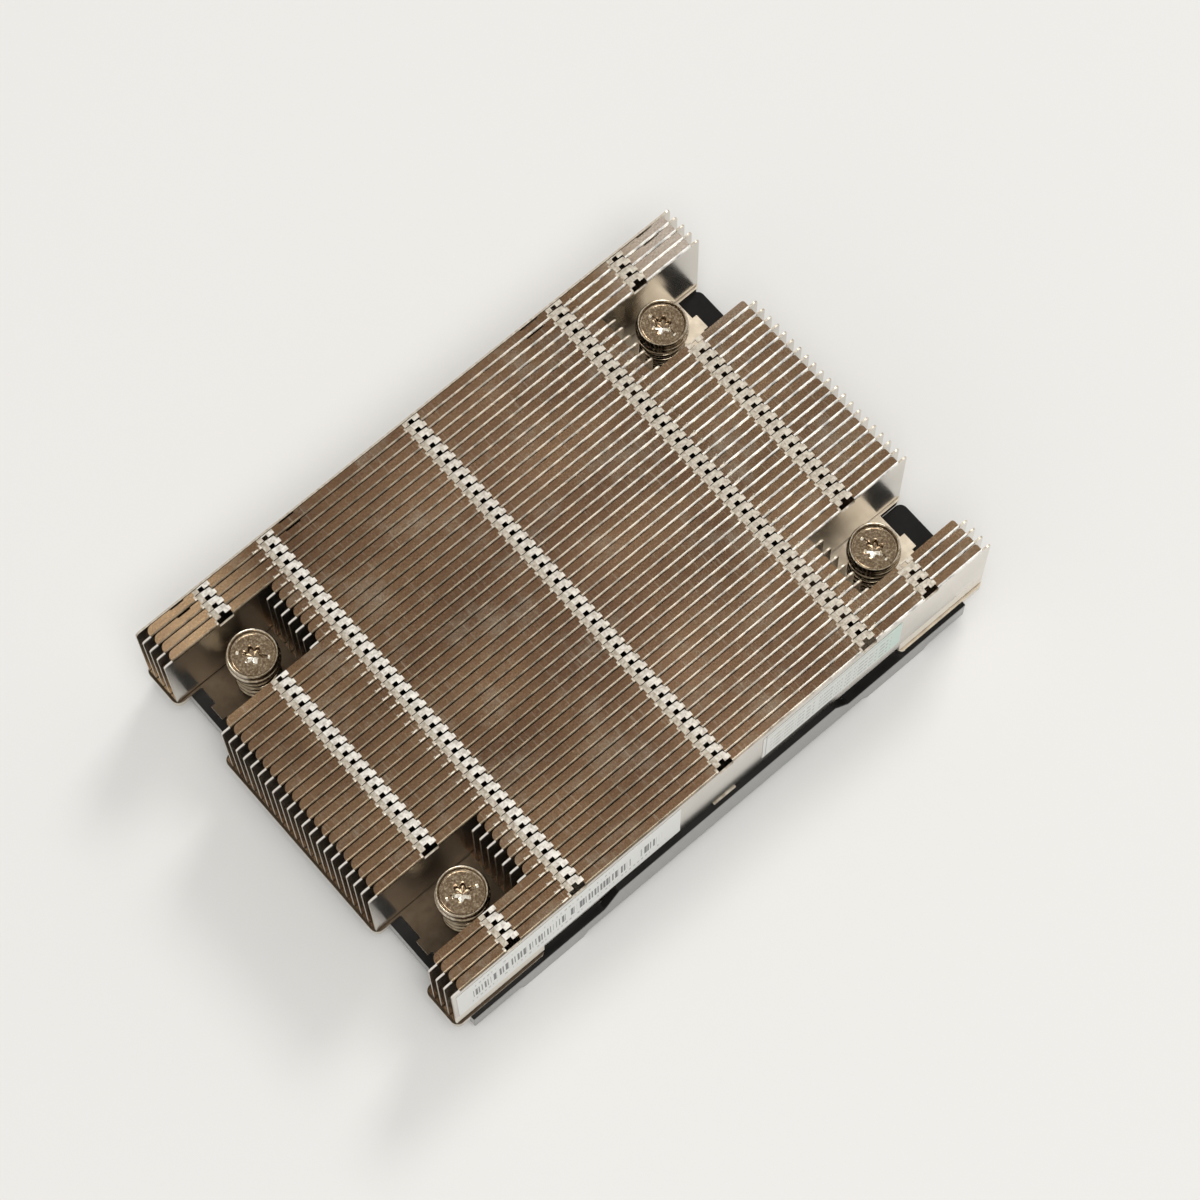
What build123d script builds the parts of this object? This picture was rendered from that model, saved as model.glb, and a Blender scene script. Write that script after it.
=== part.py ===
from build123d import *
import os

# Low server heatsink: a stack of folded, interlocked fins on a plated base plate, a moulded frame
# around the contact pad, and four spring-loaded captive screws standing in open corner notches.
# Millimetres, +Z up, +X along the fins. The origin is on the resting plane, under the middle.

# Fin sheets
sheet = 0.35
pitch = 1.95
seam_gap = 0.05
long_flange_beyond_screw = 12.0
short_web_to_head = 2.5
web_beyond_flange = 1.8
web_corner_cut = 0.9

# How many sheets stand in each group, from the near side (-Y) to the far side
near_fins = 4
notch_fins = 7
middle_fins = 21
far_fins = 5

# Interlock slots in the flanges, on lines along the stack. A slot is a T with its wide part at the
# fold. The next sheet fills the wide part, and only the neck stays open, except on the first sheet
# of a group, where nothing fills it.
inner_row_from_end = 5.05
outer_row_from_end = 11.85
slot_width = 3.1
slot_depth = 0.95
neck_width = 1.0
neck_depth = 0.65

# Heights
frame_foot_drop = 1.6
frame_wall_height = 5.0
frame_plate_thick = 1.6
base_thick = 1.6
fin_height = 19.8
rail_rise = 4.2
rail_play = 0.2

# Base plate outline
base_rim = 0.5
base_ear_beyond_screw = 8.8
base_ear_nib = 1.0
base_nib_width = 3.2
base_corner_radius = 1.5
base_lobe_radius = 1.1
window_half = 41.1

# Frame under the base plate
frame_beyond_stack = 1.1
frame_wall = 1.5
wall_play = 0.3
frame_left_beyond_screw = 11.0
frame_right_beyond_screw = 9.4
lug_beyond_screw = 14.0
lug_radius = 1.5
rail_half = 25.0
rail_ramp = 3.3
foot_from = 33.2
foot_to = 46.8
foot_ramp = 1.2
centre_tab_width = 5.0
centre_tab_reach = 0.9

# Contact pad
pad_length = 58.0
pad_width = 50.0
pad_thick = 3.4
pad_corner = 3.0
pad_window_play = 0.4

# Captive screws, on the narrow socket's spacing
screw_spacing_x = 94.0
screw_spacing_y = 56.0
head_radius = 4.8
head_height = 3.4
head_rim = 0.7
head_recess = 1.0
head_below_top = 5.4
shank_radius = 2.3
shank_play = 0.3
thread_radius = 2.0
thread_length = 3.8
tip_above_rest = 0.5
clip_width = 7.0
clip_thick = 0.7
clip_play = 0.1
clip_grip_play = 0.05
clip_window_play = 0.9

# Springs under the screw heads
spring_radius = 4.2
spring_wire = 1.1
spring_sides = 10

# Values worked out from the ones above
fin_count = near_fins + notch_fins + middle_fins + notch_fins + far_fins
stack_half = ((fin_count - 1) * pitch + sheet) / 2
frame_top = frame_foot_drop + frame_wall_height
base_top = frame_top + base_thick
top = base_top + fin_height
rail_top = frame_top + rail_rise
window_top = rail_top + rail_play
frame_half_width = stack_half + frame_beyond_stack
flange_reach = pitch - seam_gap
screw_x = screw_spacing_x / 2
screw_y = screw_spacing_y / 2
flange_half_long = screw_x + long_flange_beyond_screw
web_half_long = flange_half_long + web_beyond_flange
web_half_short = screw_x - head_radius - short_web_to_head
flange_half_short = web_half_short - web_beyond_flange
inner_row = flange_half_short - inner_row_from_end
outer_row = flange_half_long - outer_row_from_end
short_rows = (-inner_row, 0, inner_row)
long_rows = (-outer_row, -inner_row, 0, inner_row, outer_row)
base_half_length = web_half_long + base_rim
base_half_width = stack_half + base_rim
base_window_half_width = frame_half_width - frame_wall - wall_play
base_ear_half = screw_x + base_ear_beyond_screw
frame_left_half = screw_x + frame_left_beyond_screw
frame_right_half = screw_x + frame_right_beyond_screw
lug_reach = screw_x + lug_beyond_screw
frame_screw_window = clip_width + 2 * clip_window_play
head_top = top - head_below_top
head_under = head_top - head_height
screw_places = [(x, y) for x in (-screw_x, screw_x) for y in (-screw_y, screw_y)]


def fin_y(index):
    """Near face of a sheet's web. Sheet 0 is the nearest, on the -Y side."""
    return -stack_half + index * pitch


first_middle = near_fins + notch_fins
first_far_notch = first_middle + middle_fins
first_far = first_far_notch + notch_fins


def is_short(index):
    near_notch = near_fins <= index < first_middle
    far_notch = first_far_notch <= index < first_far
    return near_notch or far_notch


def rows_of(index):
    """Interlock rows along X that a sheet's flange carries. The last sheet has no flange."""
    if index < 0 or index >= fin_count - 1:
        return ()
    return short_rows if is_short(index) else long_rows


def make_fin(index):
    """One folded sheet: an upright web with a top and a bottom flange that reach to the next web."""
    y = fin_y(index)
    short = is_short(index)
    web_half = web_half_short if short else web_half_long
    flange_half = flange_half_short if short else flange_half_long
    outermost = index in (0, fin_count - 1)
    rows = rows_of(index)
    open_rows = [x for x in rows if x not in rows_of(index - 1)]
    with BuildPart() as fin:
        with BuildSketch(Plane(origin=(0, y, 0), x_dir=(1, 0, 0), z_dir=(0, -1, 0))) as web:
            with Locations((0, base_top + fin_height / 2)):
                Rectangle(2 * web_half, fin_height)
            chamfer(web.vertices().group_by(Axis.Y)[-1], length=web_corner_cut)
            if open_rows:
                with Locations([(x, top - sheet / 2) for x in open_rows]):
                    Rectangle(slot_width, sheet, mode=Mode.SUBTRACT)
            if outermost:
                with Locations((0, base_top)):
                    Rectangle(2 * window_half, 2 * (window_top - base_top), mode=Mode.SUBTRACT)
        extrude(amount=-sheet)
        if rows:
            with BuildSketch(Plane.XY.offset(top)):
                with Locations((0, y + flange_reach / 2)):
                    Rectangle(2 * flange_half, flange_reach)
                if open_rows:
                    with Locations([(x, y + slot_depth / 2) for x in open_rows]):
                        Rectangle(slot_width, slot_depth, mode=Mode.SUBTRACT)
                with Locations([(x, y + slot_depth + neck_depth / 2) for x in rows]):
                    Rectangle(neck_width, neck_depth, mode=Mode.SUBTRACT)
            extrude(amount=-sheet)
            with BuildSketch(Plane.XY.offset(base_top)):
                with Locations((0, y + flange_reach / 2)):
                    Rectangle(2 * web_half, flange_reach)
                    if outermost:
                        Rectangle(2 * window_half, flange_reach, mode=Mode.SUBTRACT)
            extrude(amount=sheet)
        if index == 0:
            with BuildSketch(Plane.XY.offset(window_top)):
                with Locations((0, y + (sheet - centre_tab_reach) / 2)):
                    Rectangle(centre_tab_width, centre_tab_reach + sheet)
            extrude(amount=sheet)
    return fin


def make_base_plate():
    """Plated plate under the stack: three full-length bars and an ear with a hole in each notch."""
    bars = (
        (-base_half_width, fin_y(near_fins) + base_rim),
        (fin_y(first_middle) - base_rim, fin_y(first_far_notch) + base_rim),
        (fin_y(first_far) - base_rim, base_half_width),
    )
    notches = ((bars[0][1], bars[1][0]), (bars[1][1], bars[2][0]))
    with BuildPart() as plate:
        with BuildSketch(Plane.XY.offset(frame_top)):
            for low, high in bars:
                with Locations((0, (low + high) / 2)):
                    Rectangle(2 * base_half_length, high - low)
            for low, high in notches:
                with Locations((0, (low + high) / 2)):
                    Rectangle(2 * base_ear_half, high - low)
            with Locations((0, base_half_width), (0, -base_half_width)):
                Rectangle(
                    2 * window_half,
                    2 * (base_half_width - base_window_half_width),
                    mode=Mode.SUBTRACT,
                )
            with Locations((0, screw_y), (0, -screw_y)):
                Rectangle(2 * (base_ear_half + base_ear_nib), base_nib_width)
        extrude(amount=base_thick)
        uprights = plate.edges().filter_by(Axis.Z)
        at_sides = uprights.filter_by(lambda e: abs(abs(e.center().Y) - base_half_width) < sheet)
        corners = at_sides.filter_by(lambda e: abs(abs(e.center().X) - base_half_length) < sheet)
        fillet(corners, radius=base_corner_radius)
        fillet([e for e in at_sides if e not in corners], radius=base_lobe_radius)
        with Locations([(x, y, base_top) for x, y in screw_places]):
            Hole(shank_radius + shank_play, base_thick)
    return plate


def make_frame():
    """Moulded frame: a ring-shaped top, a skirt, four feet and a raised rail along each long side."""
    wall_y = frame_half_width - frame_wall
    lug_low = fin_y(near_fins) + base_rim
    lug_high = fin_y(first_middle) - base_rim
    with BuildPart() as frame:
        with BuildSketch(Plane.XY.offset(frame_foot_drop)) as outline:
            with Locations(((frame_right_half - frame_left_half) / 2, 0)):
                Rectangle(frame_left_half + frame_right_half, 2 * frame_half_width)
            for side in (1, -1):
                with Locations((lug_reach / 2, side * (lug_low + lug_high) / 2)):
                    Rectangle(lug_reach, lug_high - lug_low)
            fillet(
                outline.vertices().filter_by(lambda v: abs(v.X - lug_reach) < sheet),
                radius=lug_radius,
            )
        extrude(amount=frame_wall_height)
        with BuildSketch(Plane.XY.offset(frame_foot_drop)):
            with Locations(((frame_right_half - frame_left_half) / 2, 0)):
                Rectangle(
                    frame_left_half + frame_right_half - 2 * frame_wall,
                    2 * (frame_half_width - frame_wall),
                )
        extrude(amount=frame_wall_height - frame_plate_thick, mode=Mode.SUBTRACT)
        with BuildSketch(Plane(origin=(0, -wall_y, 0), x_dir=(1, 0, 0), z_dir=(0, -1, 0))):
            with BuildLine():
                Polyline(
                    (-rail_half - rail_ramp, frame_top),
                    (-rail_half, rail_top),
                    (rail_half, rail_top),
                    (rail_half + rail_ramp, frame_top),
                    close=True,
                )
            make_face()
            for side in (-1, 1):
                with BuildLine():
                    Polyline(
                        (side * (foot_from - foot_ramp), frame_foot_drop),
                        (side * foot_from, 0),
                        (side * foot_to, 0),
                        (side * (foot_to + foot_ramp), frame_foot_drop),
                        close=True,
                    )
                make_face()
        extrude(amount=frame_wall)
        mirror(about=Plane.XZ)
        with BuildSketch(Plane.XY.offset(frame_top)):
            Rectangle(pad_length + 2 * pad_window_play, pad_width + 2 * pad_window_play)
        extrude(amount=-frame_plate_thick, mode=Mode.SUBTRACT)
        with BuildSketch(Plane.XY.offset(frame_top)):
            with Locations(screw_places):
                Rectangle(frame_screw_window, frame_screw_window)
        extrude(amount=-frame_plate_thick, mode=Mode.SUBTRACT)
    return frame


def make_pad():
    """Contact pad that meets the processor, with cut corners."""
    with BuildPart() as pad:
        with BuildSketch(Plane.XY.offset(frame_top)) as face:
            Rectangle(pad_length, pad_width)
            chamfer(face.vertices(), length=pad_corner)
        extrude(amount=-pad_thick)
    return pad


def make_screw(x, y):
    """Captive screw: a cupped head on a shank that passes through the spring and the base plate."""
    with BuildPart() as screw:
        with BuildSketch(Plane(origin=(x, y, 0), x_dir=(1, 0, 0), z_dir=(0, -1, 0))):
            with BuildLine():
                Polyline(
                    (0, tip_above_rest),
                    (thread_radius, tip_above_rest),
                    (thread_radius, tip_above_rest + thread_length),
                    (shank_radius, tip_above_rest + thread_length),
                    (shank_radius, head_under),
                    (head_radius, head_under),
                    (head_radius, head_top),
                    (head_radius - head_rim, head_top),
                    (head_radius - head_rim, head_top - head_recess),
                    (0, head_top - head_recess),
                    close=True,
                )
            make_face()
        revolve(axis=Axis((x, y, 0), (0, 0, 1)))
    return screw


def make_clip(x, y):
    """Push-on clip on the shank, just under the base plate, that keeps the screw from lifting out."""
    grip_radius = shank_radius + clip_grip_play
    with BuildPart() as clip:
        with BuildSketch(Plane.XY.offset(frame_top - clip_play)):
            with Locations((x, y)):
                Rectangle(clip_width, clip_width)
                Circle(grip_radius, mode=Mode.SUBTRACT)
            with Locations((x, y + clip_width / 2)):
                Rectangle(2 * grip_radius, clip_width, mode=Mode.SUBTRACT)
        extrude(amount=-clip_thick)
    return clip


def make_spring(x, y):
    """Sleeve of the size that the coil spring fills between the base plate and the screw's head."""
    with BuildPart() as spring:
        with BuildSketch(Plane.XY.offset(base_top)):
            with Locations((x, y)):
                RegularPolygon(spring_radius, spring_sides)
                RegularPolygon(spring_radius - spring_wire, spring_sides, mode=Mode.SUBTRACT)
        extrude(amount=head_under - base_top)
    return spring


os.makedirs("parts", exist_ok=True)

for index in range(fin_count):
    fin = make_fin(index)
    fin.part.label = f"fin_{index + 1:02d}"
    export_step(fin.part, f"parts/fin_{index + 1:02d}.step")

base_plate = make_base_plate()
base_plate.part.label = "base_plate"
export_step(base_plate.part, "parts/base_plate.step")

mounting_frame = make_frame()
mounting_frame.part.label = "mounting_frame"
export_step(mounting_frame.part, "parts/mounting_frame.step")

contact_pad = make_pad()
contact_pad.part.label = "contact_pad"
export_step(contact_pad.part, "parts/contact_pad.step")

for number, (x, y) in enumerate(screw_places, start=1):
    screw = make_screw(x, y)
    screw.part.label = f"screw_{number}"
    export_step(screw.part, f"parts/screw_{number}.step")
    clip = make_clip(x, y)
    clip.part.label = f"retaining_clip_{number}"
    export_step(clip.part, f"parts/retaining_clip_{number}.step")
    spring = make_spring(x, y)
    spring.part.label = f"spring_{number}"
    export_step(spring.part, f"parts/spring_{number}.step")
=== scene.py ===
import math
import random

import bmesh
import bpy
from mathutils import Matrix, Vector


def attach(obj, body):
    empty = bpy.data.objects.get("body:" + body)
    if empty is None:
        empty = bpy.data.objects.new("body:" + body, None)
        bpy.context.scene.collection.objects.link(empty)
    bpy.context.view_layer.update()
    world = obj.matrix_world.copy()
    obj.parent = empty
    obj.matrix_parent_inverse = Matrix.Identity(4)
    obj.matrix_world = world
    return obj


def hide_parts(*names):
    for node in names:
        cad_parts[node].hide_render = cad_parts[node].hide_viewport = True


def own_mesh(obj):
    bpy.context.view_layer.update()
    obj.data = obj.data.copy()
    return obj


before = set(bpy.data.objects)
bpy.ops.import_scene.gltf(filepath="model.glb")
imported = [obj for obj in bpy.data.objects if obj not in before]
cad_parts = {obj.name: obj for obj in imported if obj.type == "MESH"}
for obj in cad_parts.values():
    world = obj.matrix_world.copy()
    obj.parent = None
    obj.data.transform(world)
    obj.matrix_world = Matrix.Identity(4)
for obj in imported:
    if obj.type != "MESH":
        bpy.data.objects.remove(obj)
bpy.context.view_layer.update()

MM = 0.001
ROOT = "heatsink"
X, Y, Z = 0, 1, 2

# Places this near each other, in millimetres, are one
CLOSE = 1e-3

# Sizes shared with the solids, in millimetres
SHEET = 0.35
PITCH = 1.95
REACH = 1.83
FIN_COUNT = 44
STACK_HALF = 42.1
BASE_TOP = 8.2
TOP = 28.0
LONG_FLANGE = 59.0
LONG_WEB = 60.8
SHORT_FLANGE = 37.9
SHORT_WEB = 39.7
SHORT_SHEETS = set(range(4, 11)) | set(range(32, 39))
LONG_ROWS = (-47.15, -32.85, 0.0, 32.85, 47.15)
SHORT_ROWS = (-32.85, 0.0, 32.85)
SLOT_HALF = 1.55
SLOT_DEPTH = 0.95
SLOT_DROP = 1.3
NECK_HALF = 0.5
NECK_END = 1.6
WINDOW_HALF = 41.1
WINDOW_TOP = 11.0
WEB_FOOT = 12.2
TAB_HALF = 2.5
TAB_REACH = 0.7
TAB_DROP = 0.5
SCREWS = ((-47.0, -28.0), (-47.0, 28.0), (47.0, -28.0), (47.0, 28.0))
SCREW_TURNS = (-0.283, -0.843, -1.443, -1.408)
HEAD_TOP = 22.6
HEAD_UNDER = 19.2
HEAD_RADIUS = 4.8
SHANK_RADIUS = 2.3
THREAD_RADIUS = 2.0
THREAD_TOP = 4.3
TIP = 0.5
SPRING_RADIUS = 4.2
SPRING_WIRE = 0.95

# Finish of the folds and of the pressed parts, in millimetres
FOLD_RADIUS = 0.42
FOLD_CREST = 0.15
TONGUE_HALF = 1.45
TONGUE_SHIFT = 0.07
TONGUE_SKEW = 0.13
TONGUE_SKEW_FROM = -0.2
TONGUE_END_PLAY = 0.13
TONGUE_DROP = 0.10
PATCH_LEFT = 1.95
PATCH_RIGHT = 1.85
DIMPLE_ROW = 32.85
DIMPLE_STOPS = (2.30, 3.15, 3.45)
DIMPLE_NEAR = 0.33
DIMPLE_BAR = 0.54
DIMPLE_RIM = 0.70
DIMPLE_FAR = 1.2
LOCKED_SHEETS = (41, 42)
LOCKS = ((-53.4, -50.6), (-29.3, -26.1), (25.5, 29.5), (52.7, 56.2))
LOCK_EDGE = 1.60
CORNER_ROUND = 1.25
RIGHT_CORNER_ROUND = 0.5
WEB_CORNER = 0.9
WEB_MIDDLE = 18
FLANGE_LEAN = (-0.010, 0.004)
LEAN_SEED = 12


# Materials


HALF_LENGTH = 61
HALF_WIDTH = 42
GRAIN_HEIGHT = 0.02
EVEN = (1, 1, 1)
BLACK = (0, 0, 0)
WHITE = (1, 1, 1)
GOLD = (0.400, 0.270, 0.155)
BRONZE_DARK = (0.118, 0.070, 0.039)
BRONZE = (0.142, 0.084, 0.048)
BRONZE_PALE = (0.150, 0.095, 0.054)
CHAMPAGNE_PAINTED_LIGHT = (0.355, 0.305, 0.255)
HAZE = (0.235, 0.200, 0.150)
SCRATCH = (0.34, 0.29, 0.22)


def grey(share):
    return (share, share, share)


def node_of(tree, kind, **values):
    node = tree.nodes.new(kind)
    for name, value in values.items():
        setattr(node, name, value)
    return node


def material(name, color, metallic, roughness, finish=None, **sockets):
    """A Principled material. finish(tree, shader) adds what varies over the surface."""
    made = bpy.data.materials.new(name)
    made.use_nodes = True
    tree = made.node_tree
    shader = tree.nodes["Principled BSDF"]
    shader.inputs["Base Color"].default_value = (*color, 1.0)
    shader.inputs["Metallic"].default_value = metallic
    shader.inputs["Roughness"].default_value = roughness
    for socket, value in sockets.items():
        shader.inputs[socket.replace("_", " ")].default_value = value
    if finish:
        finish(tree, shader)
    return made


def coordinates(tree, scale=EVEN, rotation=(0, 0, 0)):
    """Object coordinates in millimetres, stretched by scale."""
    where = node_of(tree, "ShaderNodeTexCoord")
    mapping = node_of(tree, "ShaderNodeMapping")
    mapping.inputs["Scale"].default_value = [s / MM for s in scale]
    mapping.inputs["Rotation"].default_value = rotation
    tree.links.new(where.outputs["Object"], mapping.inputs["Vector"])
    return mapping.outputs["Vector"]


def noise(tree, vector, scale, detail=3.0, roughness=0.55):
    texture = node_of(tree, "ShaderNodeTexNoise")
    texture.inputs["Scale"].default_value = scale
    texture.inputs["Detail"].default_value = detail
    texture.inputs["Roughness"].default_value = roughness
    tree.links.new(vector, texture.inputs["Vector"])
    return texture.outputs["Fac"]


def ramp(tree, value, *stops):
    """A colour ramp; each stop is a place and a colour."""
    made = node_of(tree, "ShaderNodeValToRGB")
    points = made.color_ramp.elements
    points[0].position = stops[0][0]
    points[1].position = stops[-1][0]
    for place, color in stops[1:-1]:
        points.new(place)
    for point, (place, color) in zip(points, stops):
        point.color = (*color, 1.0)
    tree.links.new(value, made.inputs["Fac"])
    return made.outputs["Color"]


def mottled(tree, low, high, scale, detail=3.0, roughness=0.55, stretch=EVEN):
    """Blotches from one colour to another; low and high are each a place on the ramp and a colour."""
    return ramp(tree, noise(tree, coordinates(tree, stretch), scale, detail, roughness), low, high)


def math_node(tree, kind, *values):
    made = node_of(tree, "ShaderNodeMath", operation=kind)
    for socket, value in zip(made.inputs, values):
        if isinstance(value, (int, float)):
            socket.default_value = value
        else:
            tree.links.new(value, socket)
    return made.outputs[0]


def joined(tree, kind, *values):
    """One value from many, by one kind of sum, two at a time."""
    total = values[0]
    for value in values[1:]:
        total = math_node(tree, kind, total, value)
    return total


def product(tree, *values):
    return joined(tree, "MULTIPLY", *values)


def either(tree, *values):
    return joined(tree, "MAXIMUM", *values)


def blend_colors(tree, factor, first, second, kind="MIX"):
    made = node_of(tree, "ShaderNodeMix", data_type="RGBA", blend_type=kind)
    for slot, value in ((0, factor), (6, first), (7, second)):
        if isinstance(value, (int, float)):
            made.inputs[slot].default_value = value
        elif isinstance(value, tuple):
            made.inputs[slot].default_value = (*value, 1.0)
        else:
            tree.links.new(value, made.inputs[slot])
    return made.outputs[2]


def shaded(tree, base, tone):
    """The base colour times a tone."""
    return blend_colors(tree, 1.0, base, tone, "MULTIPLY")


def bump(tree, shader, height, strength):
    made = node_of(tree, "ShaderNodeBump")
    made.inputs["Strength"].default_value = strength
    made.inputs["Distance"].default_value = GRAIN_HEIGHT * MM
    tree.links.new(height, made.inputs["Height"])
    tree.links.new(made.outputs["Normal"], shader.inputs["Normal"])


def coat(tree, shader, color, scale, rough, strength, stretch=EVEN):
    """The colour, with fine grain in the roughness, between two values, and in the surface."""
    tree.links.new(color, shader.inputs["Base Color"])
    spots = noise(tree, coordinates(tree, stretch), scale)
    ranged = node_of(tree, "ShaderNodeMapRange")
    ranged.inputs["To Min"].default_value, ranged.inputs["To Max"].default_value = rough
    tree.links.new(spots, ranged.inputs["Value"])
    tree.links.new(ranged.outputs["Result"], shader.inputs["Roughness"])
    bump(tree, shader, spots, strength)


def place_along(tree, axis):
    """The place along an axis of the object, in millimetres."""
    split = node_of(tree, "ShaderNodeSeparateXYZ")
    tree.links.new(coordinates(tree), split.inputs[0])
    return split.outputs[axis]


def share_along(tree, axis, low, high):
    """0 to 1 along an axis of the object, between two places in millimetres."""
    ranged = node_of(tree, "ShaderNodeMapRange")
    ranged.inputs["From Min"].default_value = low
    ranged.inputs["From Max"].default_value = high
    tree.links.new(place_along(tree, axis), ranged.inputs["Value"])
    return ranged.outputs["Result"]


def left_to_right(tree):
    return share_along(tree, X, -HALF_LENGTH, HALF_LENGTH)


def near_to_far(tree):
    return share_along(tree, Y, -HALF_WIDTH, HALF_WIDTH)


def flange_finish(tree, shader):
    """Bronze-toned plating, golden at the far left corner; the champagne at the far right corner is
    painted light.
    """
    along = left_to_right(tree)
    base = ramp(
        tree, along, (0.0, (0.125, 0.076, 0.043)), (0.15, BRONZE_DARK), (0.55, BRONZE),
        (0.84, (0.136, 0.085, 0.048)), (1.0, BRONZE_PALE),
    )
    left_end = ramp(tree, along, (0.06, WHITE), (0.20, BLACK))
    # Painted light: the far right corner turns champagne where the lamp at that end falls.
    painted_light_right_end = ramp(tree, along, (0.84, BLACK), (0.97, WHITE))
    far_side = ramp(tree, near_to_far(tree), (0.70, BLACK), (0.90, WHITE))
    base = blend_colors(tree, product(tree, left_end, far_side), base, GOLD)
    base = blend_colors(tree, product(tree, painted_light_right_end, far_side), base, CHAMPAGNE_PAINTED_LIGHT)
    clouds = mottled(
        tree, (0.36, (0.74, 0.72, 0.74)), (0.64, (1.18, 1.2, 1.2)), 0.045, stretch=(1, 1.3, 1)
    )
    base = shaded(tree, base, clouds)
    haze = noise(tree, coordinates(tree, EVEN, (0, 0, 0.6)), 0.11, 6.0, 0.7)
    base = blend_colors(tree, ramp(tree, haze, (0.52, BLACK), (0.74, grey(0.55))), base, HAZE)
    fine = noise(tree, coordinates(tree, (1.9, 0.8, 1)), 3.5, 3.0, 0.75)
    specks = ramp(
        tree, fine, (0.34, (0.54, 0.52, 0.50)), (0.5, grey(0.95)), (0.68, (1.85, 1.83, 1.82))
    )
    base = shaded(tree, base, specks)
    scratches = noise(tree, coordinates(tree, (2.6, 0.16, 1), (0, 0, -0.35)), 1.3, 2.0, 0.6)
    lines = ramp(tree, scratches, (0.60, BLACK), (0.70, grey(0.32)))
    base = blend_colors(tree, lines, base, SCRATCH)
    coat(tree, shader, base, 3.4, (0.34, 0.50), 0.12, (1.4, 0.9, 1))


def fold_painted_highlight_finish(tree, shader):
    """The rounded folds, painted as highlights: thin and beige at the left, white at the right."""
    base = ramp(
        tree, left_to_right(tree), (0.0, (0.19, 0.145, 0.098)), (0.36, (0.21, 0.168, 0.118)),
        (0.60, (0.56, 0.49, 0.40)), (0.80, (0.90, 0.87, 0.81)), (1.0, (0.92, 0.90, 0.86)),
    )
    worn = mottled(tree, (0.35, grey(0.58)), (0.6, grey(1.10)), 0.9, stretch=(0.5, 1, 1))
    coat(tree, shader, shaded(tree, base, worn), 1.6, (0.18, 0.36), 0.05)


def pressed_finish(tree, shader):
    """Drawn and flattened metal of the interlocks: bright at the left rows, beige at the right."""
    base = ramp(
        tree, left_to_right(tree), (0.0, (0.76, 0.73, 0.67)), (0.45, (0.76, 0.72, 0.65)),
        (0.60, (0.60, 0.55, 0.47)), (1.0, (0.56, 0.51, 0.43)),
    )
    blotches = mottled(tree, (0.34, (0.66, 0.63, 0.60)), (0.60, grey(1.08)), 1.3, 3.0, 0.7)
    coat(tree, shader, shaded(tree, base, blotches), 2.0, (0.24, 0.44), 0.25)


def dull_finish(tree, shader):
    """The flatter left halves of the interlocks, beige and mottled."""
    base = mottled(tree, (0.34, (0.30, 0.25, 0.19)), (0.62, (0.56, 0.51, 0.43)), 1.5, 3.0, 0.7)
    coat(tree, shader, base, 2.0, (0.30, 0.46), 0.25)


def web_finish(tree, shader):
    """Smooth nickel with faint broad clouds."""
    base = mottled(tree, (0.3, (0.68, 0.64, 0.58)), (0.7, (0.80, 0.76, 0.70)), 0.06, 2.0)
    coat(tree, shader, base, 0.5, (0.17, 0.25), 0.01, (0.3, 1, 2))


def base_shade_and_light_finish(tree, shader):
    """The base plate's plating: painted shade makes it dark at the left end, painted light makes it cream
    at the right.
    """
    # Painted shade at the left end, painted light at the right end.
    base = ramp(
        tree, left_to_right(tree), (0.0, (0.060, 0.045, 0.031)), (0.35, (0.075, 0.056, 0.038)),
        (0.70, (0.55, 0.47, 0.36)), (1.0, (0.58, 0.51, 0.41)),
    )
    blotches = mottled(tree, (0.3, (0.82, 0.80, 0.78)), (0.7, grey(1.12)), 0.5, 4.0)
    coat(tree, shader, shaded(tree, base, blotches), 1.5, (0.34, 0.50), 0.10)


def pad_finish(tree, shader):
    """Machined contact face: fine straight tool marks under the plating."""
    base = mottled(
        tree, (0.3, (0.50, 0.44, 0.35)), (0.7, (0.60, 0.54, 0.44)), 1.0, stretch=(0.04, 1.3, 1)
    )
    coat(tree, shader, base, 3.2, (0.16, 0.30), 0.30, (0.04, 1.6, 1))


def plastic_finish(tree, shader):
    """Black moulded plastic with a fine matt texture."""
    base = mottled(
        tree, (0.3, (0.0045, 0.0042, 0.0038)), (0.7, (0.0080, 0.0075, 0.0068)), 0.4
    )
    coat(tree, shader, base, 5.0, (0.30, 0.46), 0.20)


def screw_finish(tree, shader):
    """Brownish tarnish on the screws' nickel, in small blotches."""
    base = ramp(
        tree, noise(tree, coordinates(tree), 2.4, 3.0, 0.75), (0.34, (0.110, 0.074, 0.042)),
        (0.52, (0.205, 0.147, 0.092)), (0.70, (0.430, 0.355, 0.252)),
    )
    coat(tree, shader, base, 4.0, (0.10, 0.24), 0.22)


def lighter_nickel(dark, light):
    """Lighter nickel in two mottled tones: dark and light are its two tones. On the screws' rims and
    recess walls it is a painted highlight.
    """
    def finish(tree, shader):
        base = mottled(tree, (0.38, dark), (0.60, light), 1.6)
        coat(tree, shader, base, 3.0, (0.10, 0.22), 0.20)
    return finish


def steel_finish(tree, shader):
    """Bright wound steel with a light tarnish."""
    base = mottled(tree, (0.3, (0.17, 0.130, 0.085)), (0.7, (0.36, 0.300, 0.215)), 0.8)
    coat(tree, shader, base, 2.0, (0.07, 0.16), 0.05)


FLANGE = material("bronze_flange", BRONZE, 1.0, 0.42, flange_finish)
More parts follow.
